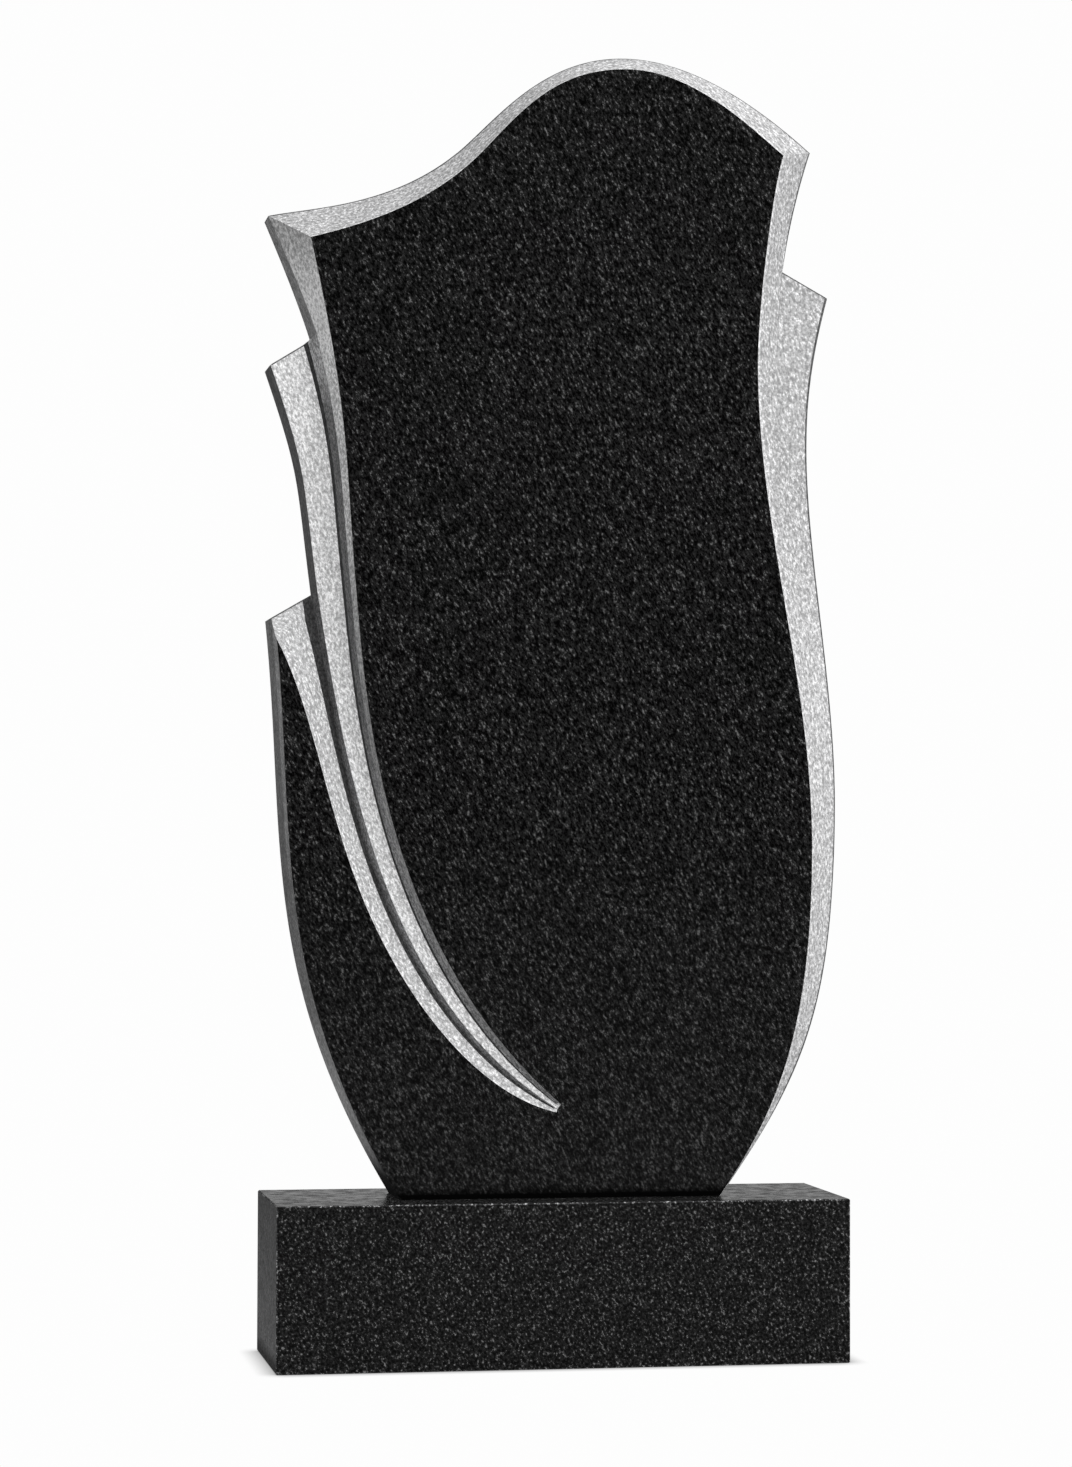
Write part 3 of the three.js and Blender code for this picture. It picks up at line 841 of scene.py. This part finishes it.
# Roughness, shine and strength of the bump
POLISHED_ROUGHNESS = 0.2
POLISHED_SHINE = 0.03
PLINTH_TOP_SHINE = 0.013
POLISHED_BUMP = 0.08
DULL_ROUGHNESS = 0.9
DULL_SHINE = 0.1
DULL_BUMP = 0.2

# Greys of grains and clouds at places along their noise, as albedo or as factors of a finish's colour
FACE_GRAINS = (
    (0.42, 0.0), (0.44, 0.002), (0.47, 0.006), (0.57, 0.016),
    (0.615, 0.03), (0.64, 0.08), (0.66, 0.14),
)
FOOT_GRAINS = ((0.42, 0.0045), (0.48, 0.012), (0.565, 0.022), (0.6, 0.034), (0.64, 0.085))
PLINTH_GRAINS = (
    (0.41, 0.004), (0.47, 0.01), (0.56, 0.021),
    (0.6, 0.038), (0.628, 0.1), (0.66, 0.22),
)
FROSTED_GRAINS = ((0.4, 0.55), (0.48, 0.87), (0.56, 1.1), (0.6, 1.4), (0.63, 1.85))
SAWN_GRAINS = ((0.4, 0.55), (0.5, 1.0), (0.6, 1.6))
RISER_GRAINS = ((0.4, 0.5), (0.5, 1.0), (0.6, 1.7))
EDGE_GRAINS = ((0.4, 0.8), (0.52, 1.0), (0.58, 1.4), (0.64, 2.6))
SAWN_CLOUDS = ((0.35, 0.8), (0.5, 1.0), (0.65, 1.25))
# The arris's brightest flecks are painted glints along it, over its own grain.
ARRIS_GRAINS_AND_GLINTS = ((0.44, 0.4), (0.5, 0.9), (0.55, 2.0), (0.59, 4.0), (0.63, 14.0))

# Roughness of the plinth's top at places along its clouds
PLINTH_POLISH = ((0.35, 0.08), (0.65, 0.36))

# Factors of a colour at heights in metres above the ground, as painted light and shade: the low factors
# at the feet of the left side, its edge band and the plinth's sides, and FOOT_SHADE at the face's foot,
# are painted contact shadow
BEVEL_HEIGHTS = ((0.4, 1.2), (0.6, 1.22), (0.75, 1.02))
LEFT_BEVEL_HEIGHTS = (
    (0.55, 0.43), (0.65, 0.63), (0.73, 0.9),
    (0.83, 1.0), (0.92, 1.3), (0.97, 0.77),
)
RISER_HEIGHTS = ((0.45, 2.7), (0.57, 1.5), (0.74, 1.75), (0.82, 1.5), (0.86, 4.4))
SIDE_HEIGHTS = (
    (0.143, 0.0), (0.16, 0.1), (0.182, 2.4), (0.23, 2.5),
    (0.3, 1.3), (0.42, 0.9), (0.62, 1.1),
)
EDGE_HEIGHTS = (
    (0.143, 0.0), (0.16, 0.05), (0.185, 1.0), (0.25, 1.2),
    (0.32, 0.7), (0.41, 0.7), (0.46, 1.0),
)
PLINTH_SIDE_HEIGHTS = ((0.005, 0.33), (0.017, 1.3), (0.045, 1.25), (0.13, 0.83))
FOOT_SHADE = ((0.145, 0.1), (0.1515, 1.0))

# Heights between which the grains of the face's foot pass over into those of the rest
FOOT_FADE = (0.14, 0.5)


def set_input(tree, node, key, value):
    """Sets a node's input, or links it where the value is another node's output."""
    if isinstance(value, bpy.types.NodeSocket):
        tree.links.new(value, node.inputs[key])
    else:
        node.inputs[key].default_value = value


def add_node(tree, kind, inputs=None, **fields):
    """Adds a node, sets its fields, and sets or links its inputs by name or place."""
    made = tree.nodes.new(kind)
    for field, value in fields.items():
        setattr(made, field, value)
    for key, value in (inputs or {}).items():
        set_input(tree, made, key, value)
    return made


def new_material(name, roughness, shine):
    """Empty stone material; roughness and shine are the same all over."""
    material = bpy.data.materials.new(name)
    material.use_nodes = True
    shader = material.node_tree.nodes["Principled BSDF"]
    shader.inputs["Roughness"].default_value = roughness
    shader.inputs["Specular IOR Level"].default_value = shine
    return material, material.node_tree, shader


def grain_places(tree, size, slant):
    """Object coordinates counted in grains of a size, leaning from upright."""
    place = add_node(tree, "ShaderNodeTexCoord")
    return add_node(tree, "ShaderNodeMapping", {
        "Vector": place.outputs["Object"],
        "Rotation": (0, slant, 0),
        "Scale": size,
    }, vector_type="TEXTURE").outputs["Vector"]


def grey_ramp(tree, value, stops):
    """Greys at places along a value."""
    ramp = add_node(tree, "ShaderNodeValToRGB", {"Fac": value})
    elements = ramp.color_ramp.elements
    while len(elements) < len(stops):
        elements.new(1)
    for element, (place, grey) in zip(elements, stops):
        element.position = place
        element.color = (grey, grey, grey, 1)
    return ramp.outputs["Color"]


def mixed(tree, way, share, first, second):
    """Two colours or patterns mixed in a way, by a share."""
    made = add_node(tree, "ShaderNodeMix", data_type="RGBA", blend_type=way, clamp_result=True)
    for place, value in {MIX_SHARE: share, MIX_FIRST: first, MIX_SECOND: second}.items():
        set_input(tree, made, place, value)
    return made.outputs[MIX_RESULT]


def height_share(tree, low, high):
    """Share of the way up from one height above the ground to another."""
    place = add_node(tree, "ShaderNodeTexCoord")
    height = add_node(tree, "ShaderNodeSeparateXYZ", {0: place.outputs["Object"]})
    return add_node(tree, "ShaderNodeMapRange", {
        "Value": height.outputs["Z"], "From Min": low, "From Max": high}).outputs[0]


def by_height(tree, color, stops):
    """A colour multiplied by factors at heights above the ground."""
    low, high = stops[0][0], stops[-1][0]
    factors = [((level - low) / (high - low), factor) for level, factor in stops]
    return mixed(tree, "MULTIPLY", 1, grey_ramp(tree, height_share(tree, low, high), factors), color)


def grain_noise(tree, size, slant):
    """Noise whose blotches have the size and lean of the grains."""
    return add_node(tree, "ShaderNodeTexNoise", {
        "Vector": grain_places(tree, size, slant),
        "Scale": 1.0, "Detail": NOISE_DETAIL, "Roughness": NOISE_ROUGHNESS,
    }).outputs["Fac"]


def add_bump(tree, shader, noise, strength):
    """Raises the grains a little above the stone between them."""
    bump = add_node(tree, "ShaderNodeBump", {
        "Height": noise, "Strength": strength, "Distance": BUMP_DISTANCE})
    tree.links.new(bump.outputs["Normal"], shader.inputs["Normal"])


def clouds(tree, stops):
    """Broad lighter and darker places in the stone."""
    return grey_ramp(tree, grain_noise(tree, (CLOUD_SIZE, CLOUD_SIZE, CLOUD_SIZE), 0), stops)


def polished_granite(name, size, slant, grains, shine, foot_grains=None, polish=None):
    """Near black polished stone with grey grains; its foot, darkened at the bottom by painted contact
    shadow, and its polish may differ.
    """
    material, tree, shader = new_material(name, POLISHED_ROUGHNESS, shine)
    noise = grain_noise(tree, size, slant)
    tone = grey_ramp(tree, noise, grains)
    if foot_grains:
        share = height_share(tree, *FOOT_FADE)
        tone = mixed(tree, "MIX", share, grey_ramp(tree, noise, foot_grains), tone)
        tone = by_height(tree, tone, FOOT_SHADE)
    tree.links.new(tone, shader.inputs["Base Color"])
    if polish:
        tree.links.new(clouds(tree, polish), shader.inputs["Roughness"])
    add_bump(tree, shader, noise, POLISHED_BUMP)
    return material


def dull_granite(name, size, slant, color, grains, heights=None, cloudy=False):
    """Rough stone with lighter and darker grains, which may be cloudy and change tone with height; the
    changes with height are painted light and shade.
    """
    material, tree, shader = new_material(name, DULL_ROUGHNESS, DULL_SHINE)
    noise = grain_noise(tree, size, slant)
    tone = mixed(tree, "MULTIPLY", 1, grey_ramp(tree, noise, grains), (*color, 1))
    if cloudy:
        tone = mixed(tree, "MULTIPLY", 1, clouds(tree, SAWN_CLOUDS), tone)
    if heights:
        tone = by_height(tree, tone, heights)
    tree.links.new(tone, shader.inputs["Base Color"])
    add_bump(tree, shader, noise, DULL_BUMP)
    return material


def frosted_granite(name, looks, color, heights=None):
    """Stone frosted by a hammer, with flecks that lean like the grain."""
    size = (looks.tool_width, looks.tool_width, looks.tool_length)
    return dull_granite(name, size, looks.grain_slant, color, FROSTED_GRAINS, heights)


def sawn_granite(name, looks, color, grains, heights=None):
    """Sawn stone, with grains as coarse as the plinth's."""
    size = (looks.coarse_width, looks.coarse_width, looks.coarse_length)
    return dull_granite(name, size, looks.grain_slant, color, grains, heights, cloudy=True)


def stele_materials(looks):
    """The stele's materials, with their painted light and shade, in the order of FINISHES_AND_SHADES.
    """
    grain = (looks.grain_width, looks.grain_width, looks.grain_length)
    return (
        polished_granite(
            "polished_granite", grain, looks.grain_slant, FACE_GRAINS, POLISHED_SHINE, FOOT_GRAINS),
        frosted_granite("ribbon_granite_painted_light", looks, looks.ribbon),
        frosted_granite("bevel_granite_painted_light_and_shade", looks, looks.bevel, BEVEL_HEIGHTS),
        frosted_granite("left_bevel_granite_painted_light_and_shade", looks, looks.ribbon, LEFT_BEVEL_HEIGHTS),
        frosted_granite("rim_granite_painted_highlight", looks, looks.rim),
        sawn_granite("riser_granite_painted_shade", looks, looks.riser, RISER_GRAINS, RISER_HEIGHTS),
        sawn_granite("kerf_painted_shadow", looks, looks.kerf, RISER_GRAINS),
        sawn_granite("sawn_granite", looks, looks.side, SAWN_GRAINS),
        sawn_granite("left_side_granite_painted_light_and_shade", looks, looks.side, SAWN_GRAINS, SIDE_HEIGHTS),
        sawn_granite("petal_side_granite_painted_shade", looks, looks.petal_side, SAWN_GRAINS),
        sawn_granite("top_side_granite_painted_light_and_shade", looks, looks.top_side, SAWN_GRAINS),
        sawn_granite("edge_band_granite_painted_shade", looks, looks.top_side, EDGE_GRAINS, EDGE_HEIGHTS),
        sawn_granite("outer_arris_painted_shade", looks, looks.petal_side, SAWN_GRAINS),
        sawn_granite("joint_painted_shadow", looks, looks.joint_shade, SAWN_GRAINS),
    )


def link_piece(name, mesh, node):
    """Puts a piece in the scene in place of a node of the frame."""
    piece = bpy.data.objects.new(name, mesh)
    bpy.context.scene.collection.objects.link(piece)
    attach(piece, BODY)
    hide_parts(node)
    return piece


class HEADSTONE_OT_carve_stele(bpy.types.Operator):
    """Carve the stele from its outline, ribbons and bevels"""

    bl_idname = "headstone.carve_stele"
    bl_label = "Carve Stele"

    def execute(self, context):
        scene = context.scene
        mesh = SteleLines(scene.headstone_stele).mesh()
        for material in stele_materials(scene.headstone_granite):
            mesh.materials.append(material)
        link_piece("stele_carved", mesh, "stele")
        return {"FINISHED"}


# Plinth

# How many arrises come off a length, and how squarely a face looks along an axis to take its material
ARRISES_OF_LENGTH = 2.0
SQUARELY = 0.9


def plinth_tree(finishes_and_shades):
    """Geometry nodes for a block with every arris taken off, and a material for each way it faces, some
    with painted glints or shade.
    """
    tree = bpy.data.node_groups.new("plinth_block", "GeometryNodeTree")
    size = tree.interface.new_socket("Size", in_out="INPUT", socket_type="NodeSocketVector")
    middle = tree.interface.new_socket("Middle", in_out="INPUT", socket_type="NodeSocketVector")
    arris = tree.interface.new_socket("Arris", in_out="INPUT", socket_type="NodeSocketFloat")
    tree.interface.new_socket("Geometry", in_out="OUTPUT", socket_type="NodeSocketGeometry")
    entry = add_node(tree, "NodeGroupInput")
    exit_node = add_node(tree, "NodeGroupOutput")
    taken_off = add_node(tree, "ShaderNodeMath", {
        0: entry.outputs["Arris"], 1: ARRISES_OF_LENGTH}, operation="MULTIPLY").outputs[0]
    joined = add_node(tree, "GeometryNodeJoinGeometry")
    for kept in ((1, 0, 0), (0, 1, 0), (0, 0, 1)):
        shrink = add_node(tree, "ShaderNodeVectorMath", {
            0: tuple(1 - k for k in kept), "Scale": taken_off}, operation="SCALE")
        block_size = add_node(tree, "ShaderNodeVectorMath", {
            0: entry.outputs["Size"], 1: shrink.outputs[0]}, operation="SUBTRACT")
        block = add_node(tree, "GeometryNodeMeshCube", {"Size": block_size.outputs[0]})
        tree.links.new(block.outputs["Mesh"], joined.inputs[0])
    hull = add_node(tree, "GeometryNodeConvexHull", {"Geometry": joined.outputs[0]})
    placed = add_node(tree, "GeometryNodeTransform", {
        "Geometry": hull.outputs[0], "Translation": entry.outputs["Middle"]})
    realized = add_node(tree, "GeometryNodeRealizeInstances", {"Geometry": placed.outputs[0]})
    finished = add_node(tree, "GeometryNodeSetMaterial", {
        "Geometry": realized.outputs[0], "Material": finishes_and_shades["arris"]})
    normal = add_node(tree, "GeometryNodeInputNormal")
    facing = add_node(tree, "ShaderNodeSeparateXYZ", {0: normal.outputs[0]})
    for axis in "XYZ":
        amount = add_node(tree, "ShaderNodeMath", {0: facing.outputs[axis]}, operation="ABSOLUTE")
        chosen = add_node(tree, "ShaderNodeMath", {
            0: amount.outputs[0], 1: SQUARELY}, operation="GREATER_THAN")
        finished = add_node(tree, "GeometryNodeSetMaterial", {
            "Geometry": finished.outputs[0], "Selection": chosen.outputs[0],
            "Material": finishes_and_shades[axis]})
    tree.links.new(finished.outputs[0], exit_node.inputs[0])
    return tree, size.identifier, middle.identifier, arris.identifier


class HEADSTONE_OT_cut_plinth(bpy.types.Operator):
    """Cut the plinth's block and take off its arrises"""

    bl_idname = "headstone.cut_plinth"
    bl_label = "Cut Plinth"

    def execute(self, context):
        scene = context.scene
        looks = scene.headstone_granite
        grain = (looks.coarse_width, looks.coarse_width, looks.coarse_length)
        finishes_and_shades = {
            # The arris carries painted glints over its grain, and the sides are a shaded copy of the
            # sawn grey that darkens to painted contact shadow at the floor.
            "arris": dull_granite("plinth_arris_painted_glints", grain, looks.grain_slant, looks.kerf, ARRIS_GRAINS_AND_GLINTS),
            "X": sawn_granite("plinth_side_painted_shade", looks, looks.petal_side, SAWN_GRAINS, PLINTH_SIDE_HEIGHTS),
            "Y": polished_granite(
                "plinth_front", grain, looks.grain_slant, PLINTH_GRAINS, POLISHED_SHINE),
            "Z": polished_granite(
                "plinth_top", grain, looks.grain_slant, PLINTH_GRAINS, PLINTH_TOP_SHINE,
                polish=PLINTH_POLISH),
        }
        tree, size, middle, arris = plinth_tree(finishes_and_shades)
        carrier = bpy.data.objects.new("plinth_carrier", bpy.data.meshes.new("plinth_carrier"))
        scene.collection.objects.link(carrier)
        modifier = carrier.modifiers.new("block", "NODES")
        modifier.node_group = tree
        modifier[size] = PLINTH_HIGH - PLINTH_LOW
        modifier[middle] = (PLINTH_HIGH + PLINTH_LOW) / 2
        modifier[arris] = scene.headstone_plinth.arris
        graph = context.evaluated_depsgraph_get()
        mesh = bpy.data.meshes.new_from_object(carrier.evaluated_get(graph), depsgraph=graph)
        carrier.modifiers.remove(modifier)
        bpy.data.objects.remove(carrier)
        if not mesh.polygons:
            raise RuntimeError("the plinth's nodes made no faces")
        mesh.name = "plinth_block"
        link_piece("plinth_block", mesh, "plinth")
        return {"FINISHED"}


# Stage

# Height of the camera's frame in millimetres
FRAME_HEIGHT = 36

# Sizes of the floor, its shadow and the light in metres, and the light's place
FLOOR_HALF = 20
FLOOR_SHADOW = 0.018
KEY_DIRECTION = (0.49, -0.59, 0.64)
KEY_DISTANCE = 4
KEY_SIZE = 2.6
AIM_HEIGHT = 0.6

# Brightness of the white that the camera sees, and tones of the light and of the floor below the stone
BACKDROP = 0.985
WHITE = (1, 1, 1, 1)
FLOOR_GREY = (0.4, 0.4, 0.4, 1)


def white_world(fill):
    """Even light from all round, behind a white backdrop that only the camera sees."""
    world = bpy.data.worlds.new("studio")
    world.use_nodes = True
    tree = world.node_tree
    tree.nodes.clear()
    light = add_node(tree, "ShaderNodeBackground", {"Color": WHITE, "Strength": fill})
    backdrop = add_node(tree, "ShaderNodeBackground", {"Color": WHITE, "Strength": BACKDROP})
    path = add_node(tree, "ShaderNodeLightPath")
    both = add_node(tree, "ShaderNodeMixShader", {
        0: path.outputs["Is Camera Ray"], 1: light.outputs[0], 2: backdrop.outputs[0]})
    add_node(tree, "ShaderNodeOutputWorld", {"Surface": both.outputs[0]})
    return world


def pale_floor():
    """Wide pale floor that looks like the backdrop, with a narrow shadow where the plinth stands."""
    mesh = bpy.data.meshes.new("floor")
    signs = ((-1, -1), (1, -1), (1, 1), (-1, 1))
    corners = [(x * FLOOR_HALF, y * FLOOR_HALF, PLINTH_LOW.z) for x, y in signs]
    mesh.from_pydata(corners, [], [range(len(corners))])
    material = bpy.data.materials.new("pale_floor")
    material.use_nodes = True
    tree = material.node_tree
    tree.nodes.clear()
    paint = add_node(tree, "ShaderNodeBsdfDiffuse", {"Color": FLOOR_GREY})
    nearness = add_node(tree, "ShaderNodeAmbientOcclusion", {"Distance": FLOOR_SHADOW})
    seen = add_node(tree, "ShaderNodeEmission", {
        "Color": nearness.outputs["Color"], "Strength": BACKDROP})
    path = add_node(tree, "ShaderNodeLightPath")
    both = add_node(tree, "ShaderNodeMixShader", {
        0: path.outputs["Is Camera Ray"], 1: paint.outputs[0], 2: seen.outputs[0]})
    add_node(tree, "ShaderNodeOutputMaterial", {"Surface": both.outputs[0]})
    mesh.materials.append(material)
    return bpy.data.objects.new("floor", mesh)


class HEADSTONE_OT_set_stage(bpy.types.Operator):
    """Set the floor, the light and the camera"""

    bl_idname = "headstone.set_stage"
    bl_label = "Set Stage"

    def execute(self, context):
        scene = context.scene
        looks = scene.headstone_stage
        scene.view_settings.view_transform = "Standard"
        scene.world = white_world(looks.fill)

        floor = pale_floor()
        scene.collection.objects.link(floor)

        lamp = bpy.data.lights.new("key", "AREA")
        lamp.shape = "DISK"
        lamp.size = KEY_SIZE
        lamp.energy = looks.key_power
        lamp.use_shadow = False
        key = bpy.data.objects.new("key", lamp)
        direction = Vector(KEY_DIRECTION).normalized()
        key.location = Vector((0, 0, AIM_HEIGHT)) + direction * KEY_DISTANCE
        key.rotation_euler = direction.to_track_quat("Z", "Y").to_euler()
        key.visible_camera = False
        scene.collection.objects.link(key)

        lens = bpy.data.cameras.new("camera")
        lens.sensor_fit = "VERTICAL"
        lens.sensor_height = FRAME_HEIGHT
        lens.lens = looks.lens
        camera = bpy.data.objects.new("camera", lens)
        camera.location = looks.camera_place
        camera.rotation_euler = looks.camera_turn
        scene.collection.objects.link(camera)
        scene.camera = camera
        return {"FINISHED"}


class HEADSTONE_PT_panel(bpy.types.Panel):
    """Sidebar panel with the headstone's operators"""

    bl_idname = "HEADSTONE_PT_panel"
    bl_label = "Headstone"
    bl_space_type = "VIEW_3D"
    bl_region_type = "UI"
    bl_category = "Headstone"

    def draw(self, context):
        for operator in (HEADSTONE_OT_set_stage, HEADSTONE_OT_cut_plinth, HEADSTONE_OT_carve_stele):
            self.layout.operator(operator.bl_idname)


SETTINGS = {
    "headstone_stele": SteleSizes,
    "headstone_plinth": PlinthSizes,
    "headstone_granite": GraniteLooks,
    "headstone_stage": StageLooks,
}
CLASSES = (
    *SETTINGS.values(),
    HEADSTONE_OT_set_stage, HEADSTONE_OT_cut_plinth, HEADSTONE_OT_carve_stele, HEADSTONE_PT_panel,
)


def register():
    """Adds the add-on's classes and settings."""
    for item in CLASSES:
        bpy.utils.register_class(item)
    for name, group in SETTINGS.items():
        setattr(bpy.types.Scene, name, PointerProperty(type=group))


def unregister():
    """Takes the add-on's settings and classes away."""
    for name in SETTINGS:
        delattr(bpy.types.Scene, name)
    for item in reversed(CLASSES):
        bpy.utils.unregister_class(item)


def main():
    """Makes the stage, the plinth and the stele."""
    register()
    bpy.ops.headstone.set_stage()
    bpy.ops.headstone.cut_plinth()
    bpy.ops.headstone.carve_stele()


if __name__ == "__main__":
    main()
